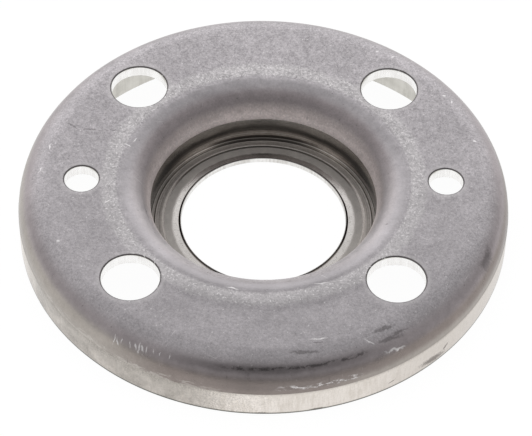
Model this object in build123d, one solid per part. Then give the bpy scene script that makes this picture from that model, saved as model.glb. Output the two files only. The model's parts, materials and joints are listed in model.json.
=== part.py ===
from build123d import *

import os
from math import cos, radians, sin

# Loose flange for a DN 25 pipe, pressed in one piece from 3 mm stainless sheet.
# The blank is drawn into a hat-shaped ring: a flat web that carries the bolts,
# a rim bent down at the outside, and a neck drawn down at the inside.
# The neck ends in an inward lip, pressed flat and thin on the bottom of the die.
# The underside of the lip presses on the collar of the pipe end, so the flange
# can turn on the pipe until its holes line up.
#
# Frame: millimetres, Z along the pipe axis, Z = 0 at the seat under the lip,
# and the flat web with the bolt heads on top.

# Driving dimensions
outer_diameter = 115.0
pitch_circle_diameter = 85.0
bolt_hole_diameter = 14.0
bolt_hole_count = 4
bolt_hole_first_angle = 45.0
pilot_hole_diameter = 8.6
pilot_hole_count = 2
pilot_hole_first_angle = 0.0
bore_diameter = 39.0
neck_inside_diameter = 53.2
height = 15.0
sheet = 3.0
bend_radius = 7.3              # outside radius of both bends of the web
neck_corner_radius = 1.2       # hollow corner between the neck and its lip
seat_corner_radius = 4.5       # the same corner on the underside
lip_thickness = 1.05           # where the lip was pressed flat
lip_flat_diameter = 47.0       # outer edge of the pressed flat
lip_step = 0.1                 # rise of the lip outside the flat
lip_step_width = 0.12
bead_height = 1.4              # seat to the top of the burr bead round the bore
bead_flat = 0.15               # width of the bead's top
bead_width = 0.6
bead_edge_radius = 0.1
bead_foot_radius = 0.15
seat_proud = 0.2               # the seat stands this far below the rim's edge
rim_band_height = 7.2          # smooth band where the rim was sized in the die
rim_band_step = 0.1
rim_edge_radius = 0.5
rim_inside_edge_radius = 0.2
hole_rollover_radius = 0.35    # rounding that the punch leaves on the top face
seat_edge_break = 0.1

# Radii and heights that follow from them
outer_radius = outer_diameter / 2
bore_radius = bore_diameter / 2
neck_radius = neck_inside_diameter / 2
neck_outside_radius = neck_radius + sheet
inside_bend_radius = bend_radius - sheet
bend_centre_height = height - bend_radius
web_underside = height - sheet
neck_bend_centre = neck_radius + bend_radius
rim_bend_centre = outer_radius - rim_band_step - bend_radius
rim_inside_radius = rim_bend_centre + inside_bend_radius
rim_edge_height = seat_proud
rim_band_top = rim_edge_height + rim_band_height
lip_flat_radius = lip_flat_diameter / 2
bead_foot = bore_radius + bead_width
corner_centre_radius = neck_radius - neck_corner_radius
corner_centre_height = lip_thickness + lip_step + neck_corner_radius
seat_corner_centre = neck_outside_radius - seat_corner_radius


def on_arc(centre_radius, centre_height, radius, angle):
    """Point of the section on an arc, with the angle counted from outwards to up."""
    turn = radians(angle)
    return (centre_radius + radius * cos(turn), centre_height + radius * sin(turn))


def sheet_section():
    """Half section of the pressed sheet, from the bore out to the rim."""
    with BuildSketch() as section:
        with BuildLine():
            # the bore's cut wall, the bead round it and the flat lip with its step
            lip = Polyline(
                (bore_radius, seat_edge_break),
                (bore_radius, bead_height),
                (bore_radius + bead_flat, bead_height),
                (bead_foot, lip_thickness),
                (lip_flat_radius, lip_thickness),
                (lip_flat_radius + lip_step_width, lip_thickness + lip_step),
                (corner_centre_radius, lip_thickness + lip_step),
            )
            # the hollow corner and the neck
            corner = ThreePointArc(
                lip @ 1,
                on_arc(corner_centre_radius, corner_centre_height, neck_corner_radius, -45),
                (neck_radius, corner_centre_height),
            )
            neck = Line(corner @ 1, (neck_radius, bend_centre_height))
            # the web with its two bends
            neck_bend = ThreePointArc(
                neck @ 1,
                on_arc(neck_bend_centre, bend_centre_height, bend_radius, 135),
                (neck_bend_centre, height),
            )
            web = Line(neck_bend @ 1, (rim_bend_centre, height))
            rim_bend = ThreePointArc(
                web @ 1,
                on_arc(rim_bend_centre, bend_centre_height, bend_radius, 45),
                (rim_bend_centre + bend_radius, bend_centre_height),
            )
            # the rim, its sized band and its cut edge
            rim = Polyline(
                rim_bend @ 1,
                (outer_radius - rim_band_step, rim_band_top + rim_band_step),
                (outer_radius, rim_band_top),
                (outer_radius, rim_edge_height),
                (rim_inside_radius, rim_edge_height),
                (rim_inside_radius, bend_centre_height),
            )
            # back along the underside to the seat
            rim_inside = ThreePointArc(
                rim @ 1,
                on_arc(rim_bend_centre, bend_centre_height, inside_bend_radius, 45),
                (rim_bend_centre, web_underside),
            )
            underside = Line(rim_inside @ 1, (neck_bend_centre, web_underside))
            neck_inside = ThreePointArc(
                underside @ 1,
                on_arc(neck_bend_centre, bend_centre_height, inside_bend_radius, 135),
                (neck_outside_radius, bend_centre_height),
            )
            neck_outside = Line(neck_inside @ 1, (neck_outside_radius, seat_corner_radius))
            seat_corner = ThreePointArc(
                neck_outside @ 1,
                on_arc(seat_corner_centre, seat_corner_radius, seat_corner_radius, -45),
                (seat_corner_centre, 0),
            )
            Polyline(seat_corner @ 1, (bore_radius + seat_edge_break, 0), lip @ 0)
        make_face()
    return section.sketch


def rounded_section():
    """The half section with its cut edges and its bead rounded."""
    section = sheet_section()
    corners = {
        (outer_radius, rim_edge_height): rim_edge_radius,
        (rim_inside_radius, rim_edge_height): rim_inside_edge_radius,
        (bore_radius, bead_height): bead_edge_radius,
        (bead_foot, lip_thickness): bead_foot_radius,
    }
    for (radius, level), rounding in corners.items():
        corner = section.vertices().sort_by_distance((radius, level, 0))[0]
        section = fillet(corner, rounding)
    return section


def holes(diameter, count, first_angle):
    """Punched holes on the pitch circle, with the rounded lead-in of the punch side."""
    radius = diameter / 2
    with BuildSketch() as side:
        with BuildLine() as outline:
            Polyline((0, 0), (radius, 0), (radius, height - hole_rollover_radius))
            RadiusArc(
                outline.line @ 1,
                (radius + hole_rollover_radius, height),
                hole_rollover_radius,
            )
            Polyline(outline.line @ 1, (0, height), (0, 0))
        make_face()
    punch = revolve(Plane.XZ * side.sketch, Axis.Z)
    return [
        location * punch
        for location in PolarLocations(pitch_circle_diameter / 2, count, first_angle)
    ]


def loose_flange():
    """The whole flange: the revolved sheet with its bolt holes and pilot holes."""
    flange = revolve(Plane.XZ * rounded_section(), Axis.Z)
    for punch in holes(bolt_hole_diameter, bolt_hole_count, bolt_hole_first_angle):
        flange -= punch
    for punch in holes(pilot_hole_diameter, pilot_hole_count, pilot_hole_first_angle):
        flange -= punch
    return flange


os.makedirs("parts", exist_ok=True)
part = loose_flange()
export_step(part, "parts/loose_flange.step")
size = part.bounding_box().size
print(f"loose_flange: {size.X:.1f} x {size.Y:.1f} x {size.Z:.1f} mm, {part.volume:.0f} mm3")
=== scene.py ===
import json
import math

import bpy
from mathutils import Matrix, Vector, geometry, noise


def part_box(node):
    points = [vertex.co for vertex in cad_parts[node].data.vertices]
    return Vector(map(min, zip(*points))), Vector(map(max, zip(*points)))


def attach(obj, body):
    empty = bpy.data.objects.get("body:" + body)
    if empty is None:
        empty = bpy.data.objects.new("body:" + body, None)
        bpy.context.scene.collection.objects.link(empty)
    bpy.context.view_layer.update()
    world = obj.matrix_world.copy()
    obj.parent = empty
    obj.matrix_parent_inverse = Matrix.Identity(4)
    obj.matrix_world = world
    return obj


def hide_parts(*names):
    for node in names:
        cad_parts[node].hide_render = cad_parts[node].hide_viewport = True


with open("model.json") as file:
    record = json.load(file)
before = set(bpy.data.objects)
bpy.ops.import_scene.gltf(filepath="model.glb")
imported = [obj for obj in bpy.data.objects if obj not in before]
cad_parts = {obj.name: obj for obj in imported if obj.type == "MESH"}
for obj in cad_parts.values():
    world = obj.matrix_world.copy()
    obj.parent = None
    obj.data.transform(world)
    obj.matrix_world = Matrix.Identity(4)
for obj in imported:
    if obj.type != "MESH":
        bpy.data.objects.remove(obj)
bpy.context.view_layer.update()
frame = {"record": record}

# Loose flange of pressed stainless sheet. Its sizes are in millimetres, the room's in metres.
mountSizes = {mount["name"]: mount["dims"] for mount in frame["record"]["mounts"]}
lowCorner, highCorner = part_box("loose_flange")
mm = 0.001


# Helpers for node trees

def addNode(tree, kind, inputs=None, **settings):
    node = tree.nodes.new(kind)
    for name, value in settings.items():
        setattr(node, name, value)
    for socket, value in (inputs or {}).items():
        if isinstance(value, bpy.types.NodeSocket):
            tree.links.new(value, node.inputs[socket])
        else:
            node.inputs[socket].default_value = value
    return node


def calc(tree, operation, *values):
    node = addNode(tree, "ShaderNodeMath", dict(enumerate(values)), operation=operation)
    return node.outputs[0]


def scaled(tree, value, factor, base):
    # the value times the factor, plus the base
    return calc(tree, "MULTIPLY_ADD", value, factor, base)


def vectorCalc(tree, operation, *values, output=0):
    node = addNode(tree, "ShaderNodeVectorMath", dict(enumerate(values)), operation=operation)
    return node.outputs[output]


def remap(tree, value, low, high, newLow=0.0, newHigh=1.0, style="SMOOTHSTEP"):
    inputs = {"Value": value, "From Min": low, "From Max": high, "To Min": newLow, "To Max": newHigh}
    return addNode(tree, "ShaderNodeMapRange", inputs, interpolation_type=style).outputs[0]


def profile(tree, value, stops, style="LINEAR"):
    # a curve through pairs of place and level; levels stay below 2
    first, last = stops[0][0], stops[-1][0]
    share = calc(tree, "DIVIDE", calc(tree, "SUBTRACT", value, first), last - first)
    ramp = addNode(tree, "ShaderNodeValToRGB", {0: share})
    steps = ramp.color_ramp.elements
    for place, _ in stops[1:-1]:
        steps.new((place - first) / (last - first))
    for step, (place, level) in zip(steps, stops):
        step.position = (place - first) / (last - first)
        step.color = (level / 2, level / 2, level / 2, 1.0)
    ramp.color_ramp.interpolation = style
    return calc(tree, "MULTIPLY", ramp.outputs[0], 2.0)


def mixTones(tree, share, first, second, blend="MIX"):
    node = addNode(tree, "ShaderNodeMix", data_type="RGBA", blend_type=blend)
    for socket, value in ((0, share), (6, first), (7, second)):
        if isinstance(value, bpy.types.NodeSocket):
            tree.links.new(value, node.inputs[socket])
        elif socket == 0:
            node.inputs[0].default_value = value
        else:
            node.inputs[socket].default_value = (*value, 1.0)
    return node.outputs[2]


def grain(tree, place, scale, detail=2.0, roughness=0.5, stretch=None, shift=(0, 0, 0)):
    # noise in millimetres; stretch makes it run along an axis
    if stretch is not None or shift != (0, 0, 0):
        place = addNode(tree, "ShaderNodeMapping", {
            "Vector": place, "Location": shift, "Scale": stretch or (1, 1, 1)}).outputs[0]
    inputs = {"Vector": place, "Scale": scale, "Detail": detail, "Roughness": roughness}
    return addNode(tree, "ShaderNodeTexNoise", inputs).outputs["Fac"]


# The sheet and its holes

sheetShape = {
    "outerRadius": (highCorner.x - lowCorner.x) / 2 / mm,
    "height": (highCorner.z - lowCorner.z) / mm,
    "boreRadius": mountSizes["bore"]["r_mm"],
    "neckRadius": 26.6,
    "thickness": 3.0,
    "bendRadius": 7.3,
    "cornerRadius": 0.25,       # hollow corner at the foot of the neck
    "seatCornerRadius": 4.5,
    "lipThickness": 1.05,
    "lipFlatRadius": 23.5,      # outer edge of the lip's pressed flat
    "lipStep": 0.1,
    "lipStepWidth": 0.05,
    "beadHeight": 1.4,          # burr bead round the bore
    "beadFlat": 0.15,
    "beadWidth": 0.6,
    "seatProud": 0.2,           # the seat stands this far below the rim's edge
    "bandHeight": 7.2,          # band that the sizing die ironed on the rim
    "bandStep": 0.1,
    "bandStepRise": 0.28,       # height of the slope above the band
    "rimEdgeRadius": 0.5,
    "rimInsideEdgeRadius": 0.2,
    "lipStepRounding": 0.03,
    "beadFootRounding": 0.15,
    "beadEdgeRounding": 0.05,
    "boreEdgeRounding": 0.09,
    "seatEdgeBreak": 0.1,
    "turns": 288,               # faces round the axis
    "webRings": 16,             # rings of points across the web
    "sharpAngle": 32,           # edges sharper than this stay crisp
    "waviness": 0.022,          # how far the pressed surface wanders
    "wavinessScale": 0.075,
    "sag": 0.10,                # the web dips this much where it was drawn into the neck
    "sagReach": 4.8,            # the dip starts this far outside the neck bend
}
holePattern = {
    "circleRadius": mountSizes["bolt_holes"]["pcd_mm"] / 2,
    "boltRadius": mountSizes["bolt_holes"]["hole_r_mm"],
    "boltAngles": (45, 135, 225, 315),
    "pilotRadius": mountSizes["pilot_holes"]["hole_r_mm"],
    "pilotAngles": (0, 180),
    "boltSides": 96,
    "pilotSides": 64,
    "rollover": 0.35,           # radius of the rolled edge
    "edgeReach": 0.05,          # from the stated radius out to the top of the rolled edge
    "breakOutHeight": 0.12,     # small slope where the punch came out
    "breakOutWidth": 0.1,
    "clearance": 0.45,          # the web's mesh points keep this far from a hole
}
shape = sheetShape
bendLevel = shape["height"] - shape["bendRadius"]
neckBendCentre = shape["neckRadius"] + shape["bendRadius"]
rimBendCentre = shape["outerRadius"] - shape["bandStep"] - shape["bendRadius"]
innerBend = shape["bendRadius"] - shape["thickness"]
lipTop = shape["lipThickness"]
bandTop = shape["seatProud"] + shape["bandHeight"]


def arc(centre, radius, start, end, steps):
    # points of the section, without the first one
    turn = [math.radians(start + (end - start) * i / steps) for i in range(1, steps + 1)]
    return [(centre[0] + radius * math.cos(a), centre[1] + radius * math.sin(a)) for a in turn]


def run(start, end, steps):
    share = [i / steps for i in range(1, steps + 1)]
    return [(start[0] + (end[0] - start[0]) * s, start[1] + (end[1] - start[1]) * s) for s in share]


def softCorner(before, corner, after, radius, steps):
    # rounds one corner of a section
    toBefore = (Vector(before) - Vector(corner)).normalized()
    toAfter = (Vector(after) - Vector(corner)).normalized()
    half = toBefore.angle(toAfter) / 2
    middle = Vector(corner) + (toBefore + toAfter).normalized() * radius / math.sin(half)
    first = Vector(corner) + toBefore * radius / math.tan(half) - middle
    last = Vector(corner) + toAfter * radius / math.tan(half) - middle
    spokes = [first.slerp(last, i / steps).normalized() * radius for i in range(steps + 1)]
    return [tuple(middle + spoke) for spoke in spokes]


def addRows(rows, zone, points):
    rows += [(point, zone) for point in points]


def neckSection():
    # from the web's top face down the neck, over the lip and back under the web
    bore = shape["boreRadius"]
    top = (neckBendCentre, shape["height"])
    foot = lipTop + shape["lipStep"]
    corner = (shape["neckRadius"] - shape["cornerRadius"], foot + shape["cornerRadius"])
    stepTop = (shape["lipFlatRadius"] + shape["lipStepWidth"], foot)
    stepFoot = (shape["lipFlatRadius"], lipTop)
    beadFoot = (bore + shape["beadWidth"], lipTop)
    beadEdge = (bore + shape["beadFlat"], shape["beadHeight"])
    beadTop = (bore, shape["beadHeight"])
    under = shape["neckRadius"] + shape["thickness"]
    seatCentre = (under - shape["seatCornerRadius"], shape["seatCornerRadius"])
    edgeBreak, stepRounding = shape["seatEdgeBreak"], shape["lipStepRounding"]
    rows = [(top, "sheet")]
    addRows(rows, "sheet", arc((neckBendCentre, bendLevel), shape["bendRadius"], 90, 180, 30))
    addRows(rows, "neck", run(rows[-1][0], (shape["neckRadius"], corner[1]), 10))
    addRows(rows, "neck", arc(corner, shape["cornerRadius"], 0, -90, 20))
    addRows(rows, "neck", softCorner((corner[0], foot), stepTop, stepFoot, stepRounding, 3))
    addRows(rows, "lip", softCorner(stepTop, stepFoot, beadFoot, stepRounding, 3))
    addRows(rows, "lip", run(rows[-1][0], (beadFoot[0] + 0.2, lipTop), 10))
    addRows(rows, "lip", softCorner(stepFoot, beadFoot, beadEdge, shape["beadFootRounding"], 4))
    addRows(rows, "lip", softCorner(beadFoot, beadEdge, beadTop, shape["beadEdgeRounding"], 3))
    addRows(rows, "lip", softCorner(beadEdge, beadTop, (bore, 0), shape["boreEdgeRounding"], 4))
    addRows(rows, "cut", run(rows[-1][0], (bore, edgeBreak), 4))
    addRows(rows, "cut", [(bore + edgeBreak, 0.0)])
    addRows(rows, "under", run(rows[-1][0], (seatCentre[0], 0.0), 3))
    addRows(rows, "under", arc(seatCentre, shape["seatCornerRadius"], -90, 0, 12))
    addRows(rows, "under", run(rows[-1][0], (under, bendLevel), 2))
    addRows(rows, "under", arc((neckBendCentre, bendLevel), innerBend, 180, 90, 14))
    return rows


def rimSection():
    # from under the web out to the rim's edge, up the band and over the bend
    inside = rimBendCentre + innerBend
    outside = shape["outerRadius"]
    edge = shape["seatProud"]
    small, large = shape["rimInsideEdgeRadius"], shape["rimEdgeRadius"]
    aboveBand = outside - shape["bandStep"]
    rows = [((rimBendCentre, shape["height"] - shape["thickness"]), "under")]
    addRows(rows, "under", arc((rimBendCentre, bendLevel), innerBend, 90, 0, 14))
    addRows(rows, "under", run(rows[-1][0], (inside, edge + small), 3))
    addRows(rows, "cut", arc((inside + small, edge + small), small, 180, 270, 3))
    addRows(rows, "cut", run(rows[-1][0], (outside - large, edge), 3))
    addRows(rows, "band", arc((outside - large, edge + large), large, 270, 360, 6))
    addRows(rows, "band", run(rows[-1][0], (outside, bandTop), 8))
    addRows(rows, "sheet", [(aboveBand, bandTop + shape["bandStepRise"]), (aboveBand, bendLevel)])
    addRows(rows, "sheet", arc((rimBendCentre, bendLevel), shape["bendRadius"], 0, 90, 28))
    return rows


def addStrip(points, faces, zones, rows):
    # turns a section round the axis and returns the first index of every row
    turns = shape["turns"]
    starts = []
    for (radius, level), _ in rows:
        starts.append(len(points))
        for j in range(turns):
            a = 2 * math.pi * j / turns
            points.append((radius * math.cos(a), radius * math.sin(a), level))
    for i in range(len(rows) - 1):
        a, b = starts[i], starts[i + 1]
        for j in range(turns):
            k = (j + 1) % turns
            faces.append((a + j, a + k, b + k, b + j))
            zones.append(rows[i + 1][1])
    return starts


def listHoles():
    # place, radius and number of sides of each hole
    holes = []
    ring = holePattern["circleRadius"]
    for kind in ("bolt", "pilot"):
        for angle in holePattern[kind + "Angles"]:
            a = math.radians(angle)
            holes.append((ring * math.cos(a), ring * math.sin(a),
                          holePattern[kind + "Radius"], holePattern[kind + "Sides"]))
    return holes


def addHoleWall(points, faces, zones, hole):
    # rolled lead-in of the punch side, then the cut wall; returns the top and bottom rings
    x, y, radius, sides = hole
    top, roll = shape["height"], holePattern["rollover"]
    edge = radius + holePattern["edgeReach"]
    rows = [(edge, top)]
    rows += arc((edge, top - roll), roll, 90, 180, 5)
    rows += run(rows[-1], (edge - roll, top - shape["thickness"] + holePattern["breakOutHeight"]), 6)
    rows += [(edge - roll + holePattern["breakOutWidth"], top - shape["thickness"])]
    starts = []
    for radiusHere, level in rows:
        starts.append(len(points))
        for j in range(sides):
            a = 2 * math.pi * j / sides
            points.append((x + radiusHere * math.cos(a), y + radiusHere * math.sin(a), level))
    for i in range(len(rows) - 1):
        a, b = starts[i], starts[i + 1]
        for j in range(sides):
            k = (j + 1) % sides
            faces.append((a + j, a + k, b + k, b + j))
            zones.append("sheet" if i < 4 else "wall")      # the rolled edge is in the sheet's finish
    return list(range(starts[0], starts[0] + sides)), list(range(starts[-1], starts[-1] + sides))


def addWeb(points, faces, zones, rings, level, zone, holes, upward):
    # flat face between the two bends, with the hole rings left open
    turns = shape["turns"]
    flat, index, edges = [], [], []
    for ring in rings:
        first = len(flat)
        for i in ring:
            flat.append(Vector(points[i][:2]))
            index.append(i)
        edges += [(first + j, first + (j + 1) % len(ring)) for j in range(len(ring))]
    ringRadii = [math.dist(points[ring[0]][:2], hole[:2]) for ring, hole in zip(rings[2:], holes)]
    for step in range(1, shape["webRings"]):
        radius = neckBendCentre + (rimBendCentre - neckBendCentre) * step / shape["webRings"]
        for j in range(turns):
            a = 2 * math.pi * (j + 0.5 * (step % 2)) / turns
            spot = Vector((radius * math.cos(a), radius * math.sin(a)))
            clear = [(spot - Vector(hole[:2])).length > reach + holePattern["clearance"]
                     for hole, reach in zip(holes, ringRadii)]
            if all(clear):
                flat.append(spot)
                index.append(len(points))
                points.append((spot.x, spot.y, level))
    made = geometry.delaunay_2d_cdt(flat, edges, [], 0, 1e-6, True)
    flatMade, trianglesMade, fromFlat = made[0], made[2], made[3]
    for triangle in trianglesMade:
        # triangles inside the neck or a hole are left out
        centre = sum((flatMade[i] for i in triangle), Vector((0, 0))) / 3
        if centre.length < neckBendCentre * math.cos(math.pi / turns):
            continue
        if any((centre - Vector(hole[:2])).length < reach * 0.995
               for hole, reach in zip(holes, ringRadii)):
            continue
        corners = [index[fromFlat[i][0]] for i in triangle]
        faces.append(tuple(corners if upward else reversed(corners)))
        zones.append(zone)


def buildFlange():
    points, faces, zones = [], [], []
    turns = shape["turns"]
    neckRows, rimRows = neckSection(), rimSection()
    neck = addStrip(points, faces, zones, neckRows)
    rim = addStrip(points, faces, zones, rimRows)
    holes = listHoles()
    tops, bottoms = [], []
    for hole in holes:
        top, bottom = addHoleWall(points, faces, zones, hole)
        tops.append(top)
        bottoms.append(bottom)

    def ring(start):
        return list(range(start, start + turns))

    top, bottom = shape["height"], shape["height"] - shape["thickness"]
    addWeb(points, faces, zones, [ring(neck[0]), ring(rim[-1])] + tops, top, "sheet", holes, True)
    addWeb(points, faces, zones, [ring(neck[-1]), ring(rim[0])] + bottoms, bottom, "under", holes, False)
    mesh = bpy.data.meshes.new("pressedFlange")
    mesh.from_pydata([Vector(p) * mm for p in points], [], faces)
    mesh.validate()
    order = ["sheet", "neck", "lip", "band", "wall", "cut", "under"]      # as the finishes are added below
    mesh.polygons.foreach_set("material_index", [order.index(zone) for zone in zones])
    mesh.polygons.foreach_set("use_smooth", [True] * len(faces))
    normals = [Vector(n.vector) for n in mesh.vertex_normals]
    for vertex, normal in zip(mesh.vertices, normals):
        place = vertex.co / mm
        wander = noise.fractal(place * shape["wavinessScale"] + Vector((3.1, 7.7, 0.4)), 0.9, 2.1, 3)
        vertex.co += normal * wander * shape["waviness"] * mm
        share = (neckBendCentre + shape["sagReach"] - place.xy.length) / shape["sagReach"]
        share = min(max(share, 0), 1) ** 2 * min(max(place.z - bendLevel, 0) / shape["bendRadius"], 1)
        vertex.co.z -= share * shape["sag"] * mm
    mesh.set_sharp_from_angle(angle=math.radians(shape["sharpAngle"]))
    mesh.update()
    piece = bpy.data.objects.new("pressedFlange", mesh)
    bpy.context.scene.collection.objects.link(piece)
    return piece


flange = buildFlange()
print("flange:", len(flange.data.vertices), "points,", len(flange.data.polygons), "faces")


# Finishes of the sheet

def startMetal(name, roughness):
    material = bpy.data.materials.new(name)
    material.use_nodes = True
    tree = material.node_tree
    shader = tree.nodes["Principled BSDF"]
    shader.inputs["Metallic"].default_value = 1.0
    shader.inputs["Roughness"].default_value = roughness
    objectPlace = addNode(tree, "ShaderNodeTexCoord").outputs["Object"]
    place = vectorCalc(tree, "MULTIPLY", objectPlace, (1000.0, 1000.0, 1000.0))      # in millimetres
    return material, tree, shader, place


def cylinderPlace(tree, place):
    # distance from the axis, height, angle and the unit vector that points outwards
    parts = addNode(tree, "ShaderNodeSeparateXYZ", {0: place}).outputs
    flat = addNode(tree, "ShaderNodeCombineXYZ", {0: parts[0], 1: parts[1]}).outputs[0]
    angle = calc(tree, "ARCTAN2", parts[1], parts[0])
    radius = vectorCalc(tree, "LENGTH", flat, output="Value")
    return radius, parts[2], angle, vectorCalc(tree, "NORMALIZE", flat)


def rolledOut(tree, radius, level, angle):
    # a wall laid flat: along the wall, up the wall
    along = calc(tree, "MULTIPLY", angle, radius)
    return addNode(tree, "ShaderNodeCombineXYZ", {0: along, 1: level}).outputs[0]


def sector(tree, outwards, degrees, inner, outer):
    # 1 near one direction from the axis, 0 far from it; degrees count from the right to the back
    turn = math.radians(degrees)
    near = vectorCalc(tree, "DOT_PRODUCT", outwards, (math.cos(turn), math.sin(turn), 0), output="Value")
    return remap(tree, near, math.cos(math.radians(outer)), math.cos(math.radians(inner)))


def ringAt(tree, value, middle, halfWidth, soft):
    # 1 near the middle value, 0 away from it on both sides
    gap = calc(tree, "ABSOLUTE", calc(tree, "SUBTRACT", value, middle))
    return remap(tree, gap, halfWidth + soft, halfWidth)


def gapToHoles(tree, place):
    # distance to the nearest hole's wall; the holes mirror each other in both directions
    folded = vectorCalc(tree, "ABSOLUTE", place)
    nearest = None
    for kind in ("bolt", "pilot"):
        turn, radius = math.radians(holePattern[kind + "Angles"][0]), holePattern[kind + "Radius"]
        reach = holePattern["circleRadius"]
        middle = (math.cos(turn) * reach, math.sin(turn) * reach, 0.0)
        flat = vectorCalc(tree, "MULTIPLY", vectorCalc(tree, "SUBTRACT", folded, middle), (1.0, 1.0, 0.0))
        gap = calc(tree, "SUBTRACT", vectorCalc(tree, "LENGTH", flat, output="Value"), radius)
        nearest = gap if nearest is None else calc(tree, "MINIMUM", nearest, gap)
    return nearest


def product(tree, *values):
    total = values[0]
    for value in values[1:]:
        total = calc(tree, "MULTIPLY", total, value)
    return total


def flecks(tree, place, spacing, length, width, share, shift=(0, 0, 0), turnRange=math.pi):
    # short marks at random places and turns, at most one in each cell
    spread = addNode(tree, "ShaderNodeMapping", {
        "Vector": place, "Location": shift, "Scale": (1 / spacing, 1 / spacing, 1 / spacing)}).outputs[0]
    cells = addNode(tree, "ShaderNodeTexVoronoi", {"Vector": spread, "Scale": 1.0}, voronoi_dimensions="2D")
    chance = addNode(tree, "ShaderNodeSeparateColor", {0: cells.outputs["Color"]}).outputs
    offset = vectorCalc(tree, "SUBTRACT", spread, cells.outputs["Position"])
    turned = addNode(tree, "ShaderNodeVectorRotate", {
        "Vector": offset, "Axis": (0.0, 0.0, 1.0),
        "Angle": calc(tree, "MULTIPLY", chance[0], turnRange)}).outputs[0]
    squeezed = vectorCalc(tree, "MULTIPLY", turned, (2 * spacing / length, 2 * spacing / width, 0.0))
    reach = vectorCalc(tree, "LENGTH", squeezed, output="Value")
    size = scaled(tree, chance[2], 0.7, 0.5)
    shown = calc(tree, "LESS_THAN", chance[1], share)
    return product(tree, remap(tree, reach, size, calc(tree, "MULTIPLY", size, 0.4)), shown)


def smears(tree, place, marks, wobble):
    # soft marks at given places: x, y, length, width in mm and turn in degrees
    nearest = None
    for x, y, length, width, degrees in marks:
        inputs = {"Vector": place, "Location": (x, y, 0), "Rotation": (0, 0, math.radians(degrees)),
                  "Scale": (length / 2, width / 2, 1e6)}
        local = addNode(tree, "ShaderNodeMapping", inputs, vector_type="TEXTURE").outputs[0]
        reach = vectorCalc(tree, "LENGTH", local, output="Value")
        nearest = reach if nearest is None else calc(tree, "MINIMUM", nearest, reach)
    ragged = calc(tree, "ADD", nearest, scaled(tree, wobble, 1.6, -0.8))
    return remap(tree, ragged, 1.1, 0.35)


def addBump(tree, shader, layers):
    # each layer is a height in the range 0 to 1 and its size in metres
    normal = None
    for height, distance in layers:
        inputs = {"Height": height, "Strength": 1.0, "Distance": distance}
        if normal is not None:
            inputs["Normal"] = normal
        normal = addNode(tree, "ShaderNodeBump", inputs).outputs[0]
    tree.links.new(normal, shader.inputs["Normal"])


def paint(tree, tone, share, strength, colour):
    # lays one more tone over the others
    return mixTones(tree, calc(tree, "MULTIPLY", share, strength), tone, colour)


def darken(tree, tone, factor):
    # multiplies a tone by a grey value
    grey = addNode(tree, "ShaderNodeCombineColor", {0: factor, 1: factor, 2: factor}).outputs[0]
    return mixTones(tree, 1.0, tone, grey, "MULTIPLY")


sheetFinish = {
    "webTone": (0.400, 0.378, 0.392),      # matt pickled web
    "haloTone": (0.520, 0.500, 0.505),     # rubbed lighter where the neck bend starts, partly a painted sheen
    "bendTone": (0.370, 0.332, 0.340),     # darker where the die dragged over the bends
    "skirtTone": (0.235, 0.200, 0.180),    # painted shade: brownish, darker foot of the outer bend
    "neckTone": (0.318, 0.284, 0.290),
    "litTone": (0.620, 0.590, 0.600),      # painted highlight on the front of the neck bend
    "litDirection": 270,
    "footTone": (0.480, 0.450, 0.410),     # painted light: the foot of the outer bend is lighter on the left
    "footDirection": 200,
    "rightFootDirection": 318,             # and weaker painted light on the right
    "edgeTone": (0.100, 0.092, 0.090),     # rolled edge of the holes
    "stainTone": (0.110, 0.100, 0.100),
    "scuffTone": (0.800, 0.780, 0.780),
    "webRoughness": 0.40,
    "bendRoughness": 0.30,
    "mouthTone": (0.660, 0.590, 0.575),    # rubbed beige just above the neck's wall
    "mouthRoughness": 0.54,                # steep part of the neck bend
    "grainDepth": 0.39,                    # how strong the fine grain of the web is
    "mottleDepth": 0.26,                   # how strong its clouds are
    "webMiddle": (40.0, 42.0),             # radii between the neck's side and the rim's side
    "haloInner": (34.1, 34.7),             # radii over which the lighter ring, part wear and part painted sheen, fades
    "haloOuter": (38.8, 37.2),
    "mouthReach": (34.5, 33.0),            # and over which the neck's mouth begins
    "streakDirection": -88,                # painted dark reflection: a streak along the front of the outer bend
    "foldLevel": 13.6,                     # black bits along the front of the outer bend
    "foldDirection": -82,
    "foldTone": (0.045, 0.041, 0.040),
    "scrapeDirection": 232,                # bright metal scraped over the band's upper edge
    "scrapeTone": (0.620, 0.590, 0.550),
    "chipLevel": 9.1,                      # bright chips low on the front
    "chipDirection": -77,
}
stains = [                                 # x, y, length, width in mm and turn in degrees
    (-45.0, 16.6, 4.6, 0.40, -38), (-41.2, 15.7, 5.0, 0.45, -4), (-36.6, 15.6, 4.6, 0.32, 0),
    (26.6, -44.4, 7.4, 1.1, 26), (30.2, -44.6, 6.0, 1.0, 32), (28.0, -46.4, 8.6, 1.0, 24),
    (50.9, -22.2, 8.0, 2.2, 74), (9.0, -51.2, 8.4, 1.0, 3),
    (28.2, -12.9, 0.9, 0.7, 0), (12.0, -48.6, 4.2, 0.6, 5), (-27.0, -8.8, 6.5, 0.25, 107),
]
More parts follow.
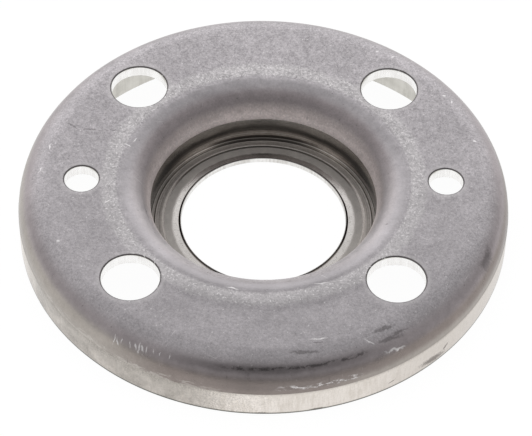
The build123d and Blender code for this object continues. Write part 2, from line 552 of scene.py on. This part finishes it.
scuffs = [                                 # bright marks, given in the same way
    (27.5, 42.9, 1.1, 0.7, 30), (31.3, 41.0, 0.9, 0.6, 60), (43.2, 27.9, 1.0, 0.6, 20),
    (45.0, 26.0, 1.5, 0.4, 70), (49.9, 13.1, 0.8, 0.6, 0), (-32.1, 10.8, 1.7, 0.4, -38),
    (-30.5, 12.5, 1.6, 0.35, 55), (-46.9, -19.4, 0.9, 0.8, 0),
    (-33.2, -45.4, 1.5, 0.35, 65), (-32.5, -45.9, 1.3, 0.35, 110), (-31.5, -46.3, 0.9, 0.30, 50),
    (-29.6, -47.4, 0.9, 0.35, 80), (-28.3, -48.0, 1.3, 0.45, 100), (-27.5, -48.4, 1.9, 0.60, 70),
    (-26.8, -48.8, 1.5, 0.50, 95), (-25.8, -49.1, 1.2, 0.35, 60), (-24.3, -49.8, 0.9, 0.30, 85),
    (-22.8, -50.4, 0.7, 0.30, 65), (-20.7, -51.2, 0.8, 0.25, 80),
    (29.4, -47.8, 5.4, 0.45, 27), (23.4, -47.7, 3.2, 0.40, -20), (12.3, -47.5, 4.6, 0.35, 5),
    (-7.0, -33.0, 3.6, 0.45, -15), (13.3, -31.4, 3.6, 0.40, 5), (-36.2, -7.2, 2.4, 0.40, 40),
    (-50.4, 10.2, 2.2, 0.40, 80), (-52.2, 3.0, 1.8, 0.40, 70),
]


def makeSheetMaterial():
    look = sheetFinish
    material, tree, shader, place = startMetal("pressedSheet", look["webRoughness"])
    radius, level, angle, outwards = cylinderPlace(tree, place)
    drop = calc(tree, "SUBTRACT", shape["height"], level)
    cloud = grain(tree, place, 0.10, 4.0, 0.62)
    patch = grain(tree, place, 0.45, 4.0, 0.62, shift=(7, 2, 0))
    fine = grain(tree, place, 1.9, 3.0, 0.7)
    grit = grain(tree, place, 5.0, 2.0, 0.6, shift=(1, 5, 3))
    warped = vectorCalc(tree, "MULTIPLY_ADD", addNode(tree, "ShaderNodeTexNoise", {
        "Vector": place, "Scale": 0.8, "Detail": 3.0}).outputs["Color"], (1.0, 1.0, 0.0), place)
    warped = vectorCalc(tree, "SUBTRACT", warped, (0.5, 0.5, 0.0))
    wobble = scaled(tree, fine, 0.6, calc(tree, "MULTIPLY", patch, 0.4))
    rolled = rolledOut(tree, shape["outerRadius"], level, angle)

    # where the parts of the section lie
    outside = remap(tree, radius, *look["webMiddle"])
    edge = scaled(tree, calc(tree, "SUBTRACT", patch, 0.5), 3.4, radius)
    inHalo = product(tree, remap(tree, edge, *look["haloOuter"]), remap(tree, radius, *look["haloInner"]))
    onBend = remap(tree, drop, 0.15, 2.2)
    onSkirt = product(tree, remap(tree, drop, 2.6, 4.4), outside)
    smooth = calc(tree, "MAXIMUM", onBend, remap(tree, edge, 34.6, 33.0))
    matt = calc(tree, "SUBTRACT", 1.0, smooth)

    tone = mixTones(tree, onBend, look["webTone"], look["bendTone"])
    inNeck = product(tree, calc(tree, "SUBTRACT", 1.0, outside), remap(tree, drop, 0.3, 1.6))
    tone = mixTones(tree, inNeck, tone, look["neckTone"])
    # painted highlight on the front of the neck bend
    lit = product(tree, sector(tree, outwards, look["litDirection"], 50, 122), remap(tree, drop, 0.3, 1.3))
    tone = paint(tree, tone, product(tree, lit, remap(tree, radius, 36.0, 34.0)), 0.85, look["litTone"])
    # lighter ring by the neck bend: partly wear, partly a painted sheen
    tone = paint(tree, tone, inHalo, scaled(tree, fine, 0.9, 0.15), look["haloTone"])
    rubEdge = scaled(tree, calc(tree, "SUBTRACT", patch, 0.5), 1.2, radius)
    worn = product(tree, remap(tree, rubEdge, 28.6, 27.0), remap(tree, radius, *look["mouthReach"]))
    tone = paint(tree, tone, worn, scaled(tree, fine, 0.7, 0.45), look["mouthTone"])
    # painted shade over the foot of the outer bend
    tone = paint(tree, tone, onSkirt, 0.85, look["skirtTone"])
    # painted light: the foot of the outer bend lighter on the left, weaker on the right
    foot = product(tree, sector(tree, outwards, look["footDirection"], 24, 50), outside,
                   remap(tree, drop, 2.0, 4.2))
    tone = paint(tree, tone, foot, 0.60, look["footTone"])
    rightFoot = product(tree, sector(tree, outwards, look["rightFootDirection"], 14, 36), outside,
                        remap(tree, drop, 5.0, 7.0))
    tone = paint(tree, tone, rightFoot, 0.50, look["footTone"])

    bits = grain(tree, rolled, 0.8, 4.0, 0.75, stretch=(0.40, 1.2, 1))
    raggedLevel = scaled(tree, calc(tree, "SUBTRACT", bits, 0.5), -9.0, level)
    scraped = product(tree, sector(tree, outwards, look["scrapeDirection"], 14, 34), outside,
                      remap(tree, raggedLevel, 8.4, 7.4))
    tone = paint(tree, tone, scraped, 0.45, look["scrapeTone"])

    # grain and clouds, strongest on the matt web
    mottle = scaled(tree, calc(tree, "SUBTRACT", cloud, 0.5), look["mottleDepth"] * 1.6, 1.0)
    farness = vectorCalc(tree, "DOT_PRODUCT", outwards, (0.0, 1.0, 0.0), output="Value")
    lively = scaled(tree, farness, 0.25, 0.93)
    patches = product(tree, calc(tree, "SUBTRACT", patch, 0.5), look["mottleDepth"] * 1.9, lively)
    mottle = product(tree, mottle, calc(tree, "ADD", patches, 1.0))
    depth = scaled(tree, matt, look["grainDepth"] * 2.5, look["grainDepth"])
    depth = product(tree, depth, lively)
    grains = product(tree, calc(tree, "SUBTRACT", fine, 0.5), depth)
    grits = product(tree, calc(tree, "SUBTRACT", grit, 0.5), depth, 0.8)
    mottle = product(tree, mottle, calc(tree, "ADD", calc(tree, "ADD", grains, grits), 1.0))
    tone = darken(tree, tone, mottle)
    near = sector(tree, outwards, look["litDirection"], 22, 52)
    dull = calc(tree, "ADD", product(tree, ringAt(tree, rubEdge, 38.2, 0.6, 2.0), 0.15),
                product(tree, ringAt(tree, radius, 32.6, 1.2, 0.8), 0.14))
    tone = darken(tree, tone, scaled(tree, product(tree, near, dull), -1.0, 1.0))

    # dark rolled edge of each hole and the rubbed ring round it
    holeGap = gapToHoles(tree, place)
    ring = product(tree, remap(tree, holeGap, 0.05, 0.20), remap(tree, holeGap, 1.2, 0.5))
    tone = paint(tree, tone, ring, 0.40, look["haloTone"])
    onTop = remap(tree, drop, 3.2, 3.0)
    tone = paint(tree, tone, product(tree, remap(tree, holeGap, 0.06, -0.04), onTop), 0.85, look["edgeTone"])

    # marks of use
    stain = smears(tree, warped, stains, wobble)
    tone = paint(tree, tone, stain, 0.54, look["stainTone"])
    # painted dark reflection: a streak along the front of the outer bend, in the stains' tone
    streak = product(tree, sector(tree, outwards, look["streakDirection"], 8, 30), outside,
                     ringAt(tree, scaled(tree, patch, 0.9, drop), 2.45, 0.20, 0.9))
    tone = paint(tree, tone, streak, scaled(tree, fine, 0.6, 0.15), look["stainTone"])
    fold = ringAt(tree, scaled(tree, wobble, 0.8, level), look["foldLevel"], 0.06, 0.32)
    marks = product(tree, remap(tree, bits, 0.43, 0.55), fold,
                    sector(tree, outwards, look["foldDirection"], 14, 20))
    tone = paint(tree, tone, product(tree, marks, outside), 0.66, look["foldTone"])
    # painted shade: broad darkening low on the front of the outer bend, in the stains' tone
    below = product(tree, sector(tree, outwards, look["foldDirection"], 8, 26), outside,
                    ringAt(tree, drop, 5.0, 0.8, 1.2))
    tone = paint(tree, tone, below, 0.24, look["stainTone"])
    specks = flecks(tree, place, 2.1, 0.55, 0.34, 0.30)
    rubbed = product(tree, flecks(tree, place, 1.1, 0.9, 0.30, 0.60, shift=(3, 8, 0)), inHalo)
    scratches = flecks(tree, place, 6.0, 3.2, 0.16, 0.28, shift=(5, 1, 0))
    pits = flecks(tree, place, 3.1, 0.5, 0.4, 0.25, shift=(11, 4, 0))
    tone = paint(tree, tone, pits, 0.38, look["stainTone"])
    scuff = smears(tree, warped, scuffs, wobble)
    sparse = scaled(tree, matt, 0.85, 0.15)
    light = calc(tree, "MAXIMUM", product(tree, specks, sparse, 0.45), product(tree, rubbed, 0.65))
    light = calc(tree, "MAXIMUM", light, product(tree, scratches, 0.35))
    nicks = product(tree, flecks(tree, rolled, 1.3, 1.1, 0.35, 0.55, shift=(2, 6, 0)), worn,
                    remap(tree, radius, 28.4, 27.6))
    light = calc(tree, "MAXIMUM", light, product(tree, nicks, 0.45))
    light = calc(tree, "MAXIMUM", light, product(tree, scuff, 0.85))
    chipBits = grain(tree, rolled, 1.0, 4.0, 0.75, stretch=(0.50, 1.3, 1), shift=(4, 1, 0))
    chips = product(tree, remap(tree, chipBits, 0.50, 0.60), ringAt(tree, level, look["chipLevel"], 0.3, 0.6),
                    sector(tree, outwards, look["chipDirection"], 6, 11), outside)
    light = calc(tree, "MAXIMUM", light, product(tree, chips, 0.75))
    tone = mixTones(tree, light, tone, look["scuffTone"])
    tree.links.new(tone, shader.inputs["Base Color"])

    bendGap = look["bendRoughness"] - look["webRoughness"]
    rough = scaled(tree, smooth, bendGap, look["webRoughness"])
    rough = calc(tree, "ADD", rough, scaled(tree, patch, 0.16, -0.08))
    mouth = product(tree, remap(tree, drop, 0.1, 1.6), remap(tree, radius, *look["mouthReach"]))
    rough = scaled(tree, mouth, look["mouthRoughness"] - look["bendRoughness"], rough)
    tree.links.new(rough, shader.inputs["Roughness"])
    addBump(tree, shader, [(fine, 0.00003), (patch, 0.00005), (light, 0.00002)])
    return material


neckFinish = {
    "tint": (1.000, 0.935, 0.870),
    "farTones": ((1.2, 0.40), (1.8, 0.50), (2.3, 0.70), (2.8, 0.92), (3.3, 0.98), (3.7, 0.55), (4.4, 0.24),
                 (5.0, 0.14), (5.6, 0.22), (6.2, 0.40), (7.0, 0.44), (7.6, 0.46)),      # painted light and shade: height and tone
    "sideTones": ((1.2, 0.16), (2.4, 0.21), (3.2, 0.12), (4.2, 0.065), (5.0, 0.045), (5.8, 0.09), (6.6, 0.32),
                  (7.6, 0.42)),
    "cornerTone": (0.340, 0.312, 0.292),
    "crackTone": (0.090, 0.080, 0.074),    # painted shade in the corner and at the step's foot
    "wallRoughness": 0.19,
    "cornerRoughness": 0.42,
    "polishRoughness": 0.13,               # narrow shiny ring outside the pressed flat
    "ringDepth": 0.00022,
    "markTone": (0.700, 0.660, 0.620),     # short bright marks on the wall
    "farDirection": 90,                    # painted shade darkens the corner and the step on this side
    "shadeDirection": 168,                 # the corner is darker here
    "dimDirection": 120,                   # and its inner part here
}
lipFinish = {
    "mattTone": (0.455, 0.430, 0.408),     # outer part of the pressed flat
    "brightTone": (0.600, 0.572, 0.550),   # inner part, rubbed bright
    "beadTone": (0.090, 0.086, 0.082),     # dark flank of the bead round the bore
    "mattRoughness": 0.60,
    "brightRoughness": 0.10,
    "brightReach": 21.5,                   # radius where the bright part ends
    "dirtTone": (0.080, 0.074, 0.068),     # painted shade at the foot of the step, and the dark nicks
}


def makeNeckMaterial():
    look = neckFinish
    material, tree, shader, place = startMetal("ironedNeck", look["wallRoughness"])
    radius, level, angle, outwards = cylinderPlace(tree, place)
    rolled = rolledOut(tree, shape["neckRadius"], level, angle)
    fine = grain(tree, place, 2.2, 3.0, 0.7)
    patch = grain(tree, place, 0.4, 3.0, 0.6)
    wallRadius, flatRadius = shape["neckRadius"], shape["lipFlatRadius"]
    inCorner = remap(tree, radius, wallRadius - 0.15, wallRadius - 0.3)
    # painted light and shade: bands of tone up the neck's wall, set apart on the far side
    drift = scaled(tree, calc(tree, "SUBTRACT", patch, 0.5), 0.7, level)
    farShare = sector(tree, outwards, look["farDirection"], 30, 62)
    sunk = sector(tree, outwards, look["farDirection"], 4, 31)
    drift = calc(tree, "ADD", drift, scaled(tree, sunk, -0.7, 0.7))
    side = profile(tree, drift, look["sideTones"])
    gap = calc(tree, "SUBTRACT", profile(tree, drift, look["farTones"]), side)
    banded = darken(tree, look["tint"], scaled(tree, farShare, gap, side))
    tone = mixTones(tree, inCorner, banded, look["cornerTone"])
    tone = darken(tree, tone, scaled(tree, fine, 0.90, 0.55))
    tone = darken(tree, tone, scaled(tree, patch, 0.40, 0.80))
    across = calc(tree, "ADD", radius, level)
    ringPlace = addNode(tree, "ShaderNodeCombineXYZ", {0: across}).outputs[0]
    lines = calc(tree, "SUBTRACT", grain(tree, ringPlace, 3.4, 3.0, 0.75), 0.5)
    lines = product(tree, lines, remap(tree, level, 4.4, 3.2))
    tone = darken(tree, tone, scaled(tree, lines, 4.6, 1.0))
    shade = product(tree, sector(tree, outwards, look["shadeDirection"], 22, 48), inCorner)
    tone = darken(tree, tone, scaled(tree, shade, -0.15, 1.0))
    dim = product(tree, ringAt(tree, radius, flatRadius + 0.95, 0.20, 0.25),
                  sector(tree, outwards, look["dimDirection"], 60, 100))
    tone = darken(tree, tone, scaled(tree, dim, -0.20, 1.0))
    # painted shade in the corner, on the far side
    dirty = sector(tree, outwards, look["farDirection"], 10, 36)
    crack = product(tree, remap(tree, radius, wallRadius - 1.25, wallRadius - 0.75),
                    remap(tree, level, 2.35, 1.8), dirty)
    tone = paint(tree, tone, crack, 0.80, look["crackTone"])
    # painted shade at the foot of the step, on the far side
    stepDirt = product(tree, remap(tree, radius, flatRadius + 0.4, flatRadius + 0.3),
                       sector(tree, outwards, look["farDirection"], 48, 80))
    tone = paint(tree, tone, stepDirt, 0.85, look["crackTone"])
    marks = flecks(tree, rolled, 1.8, 1.1, 0.16, 0.35, turnRange=0.3)
    tone = paint(tree, tone, marks, 0.30, look["markTone"])
    tree.links.new(tone, shader.inputs["Base Color"])
    cornerGap = look["cornerRoughness"] - look["wallRoughness"]
    rough = scaled(tree, inCorner, cornerGap, look["wallRoughness"])
    polish = product(tree, remap(tree, radius, flatRadius + 0.65, flatRadius + 0.5), inCorner)
    rough = scaled(tree, polish, look["polishRoughness"] - look["cornerRoughness"], rough)
    tree.links.new(rough, shader.inputs["Roughness"])
    rings = grain(tree, ringPlace, 2.6, 2.0, 0.6)
    turned = product(tree, remap(tree, radius, wallRadius - 0.6, wallRadius - 1.0),
                     remap(tree, radius, flatRadius + 0.4, flatRadius + 0.7))
    rings = product(tree, rings, scaled(tree, turned, 0.95, 0.05))
    addBump(tree, shader, [(rings, look["ringDepth"]), (fine, 0.000006)])
    return material


def makeLipMaterial():
    look = lipFinish
    material, tree, shader, place = startMetal("pressedLip", look["mattRoughness"])
    radius, _, _, outwards = cylinderPlace(tree, place)
    fine = grain(tree, place, 2.4, 3.0, 0.7)
    patch = grain(tree, place, 0.35, 3.0, 0.6)
    ragged = scaled(tree, calc(tree, "SUBTRACT", patch, 0.5), 0.9, radius)
    bright = remap(tree, ragged, look["brightReach"] + 0.45, look["brightReach"] - 0.40)
    tone = mixTones(tree, bright, look["mattTone"], look["brightTone"])
    tone = darken(tree, tone, scaled(tree, fine, 0.34, 0.83))
    tone = darken(tree, tone, scaled(tree, patch, 0.40, 0.80))
    # painted shade: the bright part is darker on the far side
    dimmed = product(tree, bright, sector(tree, outwards, neckFinish["farDirection"], 38, 66))
    tone = darken(tree, tone, scaled(tree, dimmed, -0.45, 1.0))
    nicks = product(tree, flecks(tree, place, 0.8, 1.1, 0.22, 0.60), bright)
    tone = paint(tree, tone, nicks, 0.30, look["dirtTone"])
    bore, flatRadius = shape["boreRadius"], shape["lipFlatRadius"]
    onBead = product(tree, remap(tree, radius, bore + 0.54, bore + 0.42),
                     remap(tree, radius, bore + 0.08, bore + 0.16))
    tone = paint(tree, tone, onBead, 1.0, look["beadTone"])
    # painted shade: dark line at the lip's outer edge, on the far side
    stepDirt = product(tree, remap(tree, radius, flatRadius - 0.12, flatRadius - 0.04),
                       sector(tree, outwards, neckFinish["farDirection"], 48, 80))
    tone = paint(tree, tone, stepDirt, 0.90, look["dirtTone"])
    tree.links.new(tone, shader.inputs["Base Color"])
    gap = look["brightRoughness"] - look["mattRoughness"]
    rough = scaled(tree, bright, gap, look["mattRoughness"])
    tree.links.new(rough, shader.inputs["Roughness"])
    rings = grain(tree, addNode(tree, "ShaderNodeCombineXYZ", {0: radius}).outputs[0], 2.4, 2.0, 0.6)
    addBump(tree, shader, [(rings, 0.00003), (fine, 0.00001)])
    return material


bandFinish = {
    "tone": (0.810, 0.758, 0.708),         # ironed bright by the sizing die, slightly warm
    "dullTone": (0.680, 0.628, 0.570),
    "greyTone": (0.365, 0.338, 0.308),     # the band's dull part, on the left
    "warmTone": (0.620, 0.575, 0.530),     # painted shade: a little darker on the right
    "stainTone": (0.120, 0.100, 0.090),
    "footTone": (0.070, 0.072, 0.060),     # painted shadow: dark line at the rim's lower edge
    "roughness": 0.30,
    "greyDirection": 230,
    "warmDirection": -24,
}
bandStains = [                             # along the rim, height, length, width in mm and turn
    (-48.2, 2.2, 9.0, 2.4, -5), (-44.2, 3.4, 2.6, 0.9, 40), (-78.0, 1.0, 4.0, 0.6, 0),
    (-90.5, 0.9, 3.0, 0.5, 0), (-60.0, 2.6, 2.4, 0.4, 15),
]
# the punched walls and cut faces are near-white: bright sheared metal, partly a painted reflection of the
# white floor
wallFinish = {"tone": (1.000, 0.995, 0.985), "dullTone": (0.880, 0.865, 0.850), "roughness": 0.24}
cutFinish = {"tone": (0.900, 0.890, 0.870), "dullTone": (0.620, 0.600, 0.570), "roughness": 0.32}
underFinish = {"tone": (0.700, 0.685, 0.640), "dullTone": (0.560, 0.545, 0.505), "roughness": 0.42}


def makeBandMaterial():
    look = bandFinish
    material, tree, shader, place = startMetal("ironedBand", look["roughness"])
    _, level, angle, outwards = cylinderPlace(tree, place)
    rolled = rolledOut(tree, shape["outerRadius"], level, angle)
    streak = grain(tree, rolled, 1.5, 4.0, 0.72, stretch=(1, 0.10, 1))
    cloud = grain(tree, rolled, 0.20, 3.0, 0.6)
    fine = grain(tree, place, 2.6, 3.0, 0.7)
    share = scaled(tree, cloud, 0.35, calc(tree, "MULTIPLY", streak, 0.65))
    tone = mixTones(tree, remap(tree, share, 0.36, 0.60), look["dullTone"], look["tone"])
    uneven = scaled(tree, fine, 0.5, calc(tree, "MULTIPLY", cloud, 0.5))
    grey = product(tree, sector(tree, outwards, look["greyDirection"], 18, 38),
                   remap(tree, uneven, 0.30, 0.58))
    tone = paint(tree, tone, grey, 0.95, look["greyTone"])
    # painted shade on the right of the band
    tone = paint(tree, tone, sector(tree, outwards, look["warmDirection"], 16, 48), 0.72, look["warmTone"])
    top = scaled(tree, calc(tree, "SUBTRACT", streak, 0.5), 3.0, level)
    tone = paint(tree, tone, remap(tree, top, bandTop - 0.9, bandTop + 0.2), 0.50, look["greyTone"])
    worn = product(tree, remap(tree, top, 5.0, 6.8), sector(tree, outwards, look["greyDirection"], 12, 30))
    tone = paint(tree, tone, worn, 0.55, look["greyTone"])
    tone = darken(tree, tone, scaled(tree, fine, 0.36, 0.82))
    speckle = product(tree, calc(tree, "SUBTRACT", fine, 0.5),
                      sector(tree, outwards, look["greyDirection"], 24, 46))
    tone = darken(tree, tone, scaled(tree, speckle, 1.8, 1.0))
    spots = smears(tree, rolled, bandStains, fine)
    tone = paint(tree, tone, spots, 0.75, look["stainTone"])
    # painted shadow along the rim's lower edge
    foot = remap(tree, level, shape["seatProud"] + 1.00, shape["seatProud"] + 0.45)
    tone = paint(tree, tone, foot, 0.95, look["footTone"])
    tree.links.new(tone, shader.inputs["Base Color"])
    addBump(tree, shader, [(streak, 0.00003), (fine, 0.00002)])
    return material


def makeStreakedMaterial(name, look, streaks=2.2):
    # cut metal with streaks that run along the axis
    material, tree, shader, place = startMetal(name, look["roughness"])
    streak = grain(tree, place, streaks, 4.0, 0.7, stretch=(1, 1, 0.06))
    cloud = grain(tree, place, 0.25, 3.0, 0.6)
    share = scaled(tree, cloud, 0.5, calc(tree, "MULTIPLY", streak, 0.5))
    tone = mixTones(tree, remap(tree, share, 0.35, 0.62), look["dullTone"], look["tone"])
    tree.links.new(tone, shader.inputs["Base Color"])
    addBump(tree, shader, [(streak, 0.00002)])
    return material


finishes = [
    makeSheetMaterial(), makeNeckMaterial(), makeLipMaterial(), makeBandMaterial(),
    makeStreakedMaterial("punchedWall", wallFinish), makeStreakedMaterial("cutEdge", cutFinish),
    makeStreakedMaterial("underside", underFinish, 0.8),
]
for finish in finishes:
    flange.data.materials.append(finish)
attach(flange, "root")
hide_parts("loose_flange")
print("finishes: sheet, neck, lip, band, walls, edges and underside")


# Room, floor, lamp and camera

room = {                       # sizes in metres; the levels are pairs of elevation and brightness
    "radius": 0.55,
    "liftOffFloor": 0.001,
    "back": ((0, 1.35), (25, 1.45), (38, 1.48), (48, 0.98), (52, 0.80), (58, 0.64), (72, 0.70), (90, 0.74)),
    "side": ((0, 0.62), (20, 0.61), (48, 0.68), (70, 0.72), (90, 0.74)),
    "front": ((0, 0.45), (14, 0.44), (34, 0.44), (54, 0.48), (74, 0.62), (90, 0.74)),
    "rightLoss": -0.10,        # the right side is a little darker
    "camera": 0.15,            # the dark camera and its stand, seen in the metal
    "cameraSpot": (44, 180, 3, 14),      # elevation, azimuth, inner and outer angle in degrees
    "lampPower": 1.5,
    "lampPlace": (-0.25, 0.35, 0.9),
    "lampSize": 0.8,
    "worldTone": 0.80,
    "floorReach": 4.0,
    "paperTone": 0.95,
    "shadowShare": 0.06,       # how much of the floor's white takes the shadow
    "paperGlow": 1.02,
}
photoCamera = {
    "distance": 627.2,         # to the middle of the top face
    "elevation": 47.50,
    "azimuth": -0.42,
    "roll": -0.77,
    "focalPixels": 2690.5,
    "sensorWidth": 36.0,
    "imageWidth": 532,
    "imageHeight": 436,
    "middleAt": (263.85, 179.80),
}


def whiteForCamera(tree):
    paths = addNode(tree, "ShaderNodeLightPath").outputs
    seen = calc(tree, "MAXIMUM", paths["Is Camera Ray"], paths["Is Glossy Ray"])
    return calc(tree, "MAXIMUM", seen, paths["Is Transmission Ray"])


def makeWorld():
    world = bpy.data.worlds.new("whiteStudio")
    bpy.context.scene.world = world
    world.use_nodes = True
    tree = world.node_tree
    tree.nodes.clear()
    seen = whiteForCamera(tree)
    tone = mixTones(tree, seen, (room["worldTone"],) * 3, (1.0, 1.0, 1.0))
    background = addNode(tree, "ShaderNodeBackground", {"Color": tone, "Strength": 1.0})
    addNode(tree, "ShaderNodeOutputWorld", {"Surface": background.outputs[0]})


def makeFloor():
    mesh = bpy.data.meshes.new("studioFloor")
    reach, tone = room["floorReach"], room["paperTone"]
    corners = [(-reach, -reach, 0), (reach, -reach, 0), (reach, reach, 0), (-reach, reach, 0)]
    mesh.from_pydata(corners, [], [(0, 1, 2, 3)])
    floor = bpy.data.objects.new("studioFloor", mesh)
    bpy.context.scene.collection.objects.link(floor)
    material = bpy.data.materials.new("whiteFloor")
    material.use_nodes = True
    tree = material.node_tree
    tree.nodes.clear()
    paper = addNode(tree, "ShaderNodeBsdfDiffuse", {"Color": (tone, tone, tone, 1.0)})
    glow = addNode(tree, "ShaderNodeEmission", {
        "Color": (1.0, 1.0, 1.0, 1.0), "Strength": room["paperGlow"]})
    share = calc(tree, "MULTIPLY", whiteForCamera(tree), 1.0 - room["shadowShare"])
    mixed = addNode(tree, "ShaderNodeMixShader", {0: share, 1: paper.outputs[0], 2: glow.outputs[0]})
    addNode(tree, "ShaderNodeOutputMaterial", {"Surface": mixed.outputs[0]})
    mesh.materials.append(material)


def makeRoom():
    # what the metal reflects: a bright side behind it, a dark one behind the camera
    points, faces = [], []
    around, up = 48, 20
    for i in range(up + 1):
        e = math.radians(90 * i / up)
        for j in range(around):
            a = 2 * math.pi * j / around
            points.append((math.cos(a) * math.cos(e) * room["radius"],
                           math.sin(a) * math.cos(e) * room["radius"],
                           math.sin(e) * room["radius"] + room["liftOffFloor"]))
    for i in range(up):
        for j in range(around):
            k = (j + 1) % around
            faces.append((i * around + j, (i + 1) * around + j, (i + 1) * around + k, i * around + k))
    mesh = bpy.data.meshes.new("studioTent")
    mesh.from_pydata(points, [], faces)
    tent = bpy.data.objects.new("studioTent", mesh)
    bpy.context.scene.collection.objects.link(tent)
    material = bpy.data.materials.new("tentCloth")
    material.use_nodes = True
    tree = material.node_tree
    tree.nodes.clear()
    place = addNode(tree, "ShaderNodeTexCoord").outputs["Object"]
    way = vectorCalc(tree, "NORMALIZE", place)

    parts = addNode(tree, "ShaderNodeSeparateXYZ", {0: way}).outputs
    flat = addNode(tree, "ShaderNodeCombineXYZ", {0: parts[0], 1: parts[1]}).outputs[0]
    toBack = addNode(tree, "ShaderNodeSeparateXYZ", {0: vectorCalc(tree, "NORMALIZE", flat)}).outputs[1]

    climb = calc(tree, "DEGREES", calc(tree, "ARCSINE", parts[2]))

    def spot(elevation, azimuth, inner, outer):
        # 1 inside the inner angle, 0 outside the outer one; azimuth 0 is behind the object
        e, a = math.radians(elevation), math.radians(azimuth)
        middle = (math.sin(a) * math.cos(e), math.cos(a) * math.cos(e), math.sin(e))
        near = vectorCalc(tree, "DOT_PRODUCT", way, middle, output="Value")
        return remap(tree, near, math.cos(math.radians(outer)), math.cos(math.radians(inner)))

    light = profile(tree, climb, room["side"], "EASE")
    backShare, frontShare = remap(tree, toBack, 0.2, 1.0), remap(tree, toBack, -0.35, -1.0)
    for share, levels in ((backShare, room["back"]), (frontShare, room["front"])):
        gap = calc(tree, "SUBTRACT", profile(tree, climb, levels, "EASE"), light)
        light = scaled(tree, share, gap, light)
    light = calc(tree, "MULTIPLY", light, scaled(tree, parts[0], room["rightLoss"], 1.0))
    dark = spot(*room["cameraSpot"])
    light = scaled(tree, dark, calc(tree, "SUBTRACT", room["camera"], light), light)
    glow = addNode(tree, "ShaderNodeEmission", {"Color": (1, 1, 1, 1), "Strength": light})
    addNode(tree, "ShaderNodeOutputMaterial", {"Surface": glow.outputs[0]})
    mesh.materials.append(material)
    tent.visible_camera = False
    tent.visible_diffuse = False
    tent.visible_shadow = False
    tent.visible_transmission = False


def makeLamp(name, location, size, power):
    data = bpy.data.lights.new(name, "AREA")
    data.shape = "DISK"
    data.size = size
    data.energy = power
    lamp = bpy.data.objects.new(name, data)
    bpy.context.scene.collection.objects.link(lamp)
    lamp.location = location
    lamp.rotation_euler = (-Vector(location)).to_track_quat("-Z", "Y").to_euler()
    lamp.visible_camera = False
    lamp.visible_glossy = False


def makeCamera():
    view = photoCamera
    e, a = math.radians(view["elevation"]), math.radians(view["azimuth"])
    back = Vector((math.sin(a) * math.cos(e), -math.cos(a) * math.cos(e), math.sin(e)))
    right = Vector((math.cos(a), math.sin(a), 0))
    up = back.cross(right)
    level = Matrix((right, up, back))
    offset = Vector(((view["middleAt"][0] - view["imageWidth"] / 2) / view["focalPixels"],
                     -(view["middleAt"][1] - view["imageHeight"] / 2) / view["focalPixels"], -1.0))
    swing = Vector((0, 0, -1)).rotation_difference(offset.normalized()).to_matrix()
    roll = Matrix.Rotation(math.radians(view["roll"]), 3, "Z")
    data = bpy.data.cameras.new("photoCamera")
    data.sensor_width = view["sensorWidth"]
    data.lens = view["focalPixels"] * view["sensorWidth"] / view["imageWidth"]
    data.clip_start, data.clip_end = 0.01, 10.0
    camera = bpy.data.objects.new("photoCamera", data)
    bpy.context.scene.collection.objects.link(camera)
    turned = (swing @ roll @ level).transposed().to_4x4()
    where = back * view["distance"] + Vector((0, 0, shape["height"]))
    turned.translation = where * mm
    camera.matrix_world = turned
    bpy.context.scene.camera = camera


makeWorld()
makeFloor()
makeRoom()
makeLamp("softLamp", room["lampPlace"], room["lampSize"], room["lampPower"])
makeCamera()
bpy.context.scene.view_settings.view_transform = "Standard"
print("stage: floor, tent, lamp and camera")
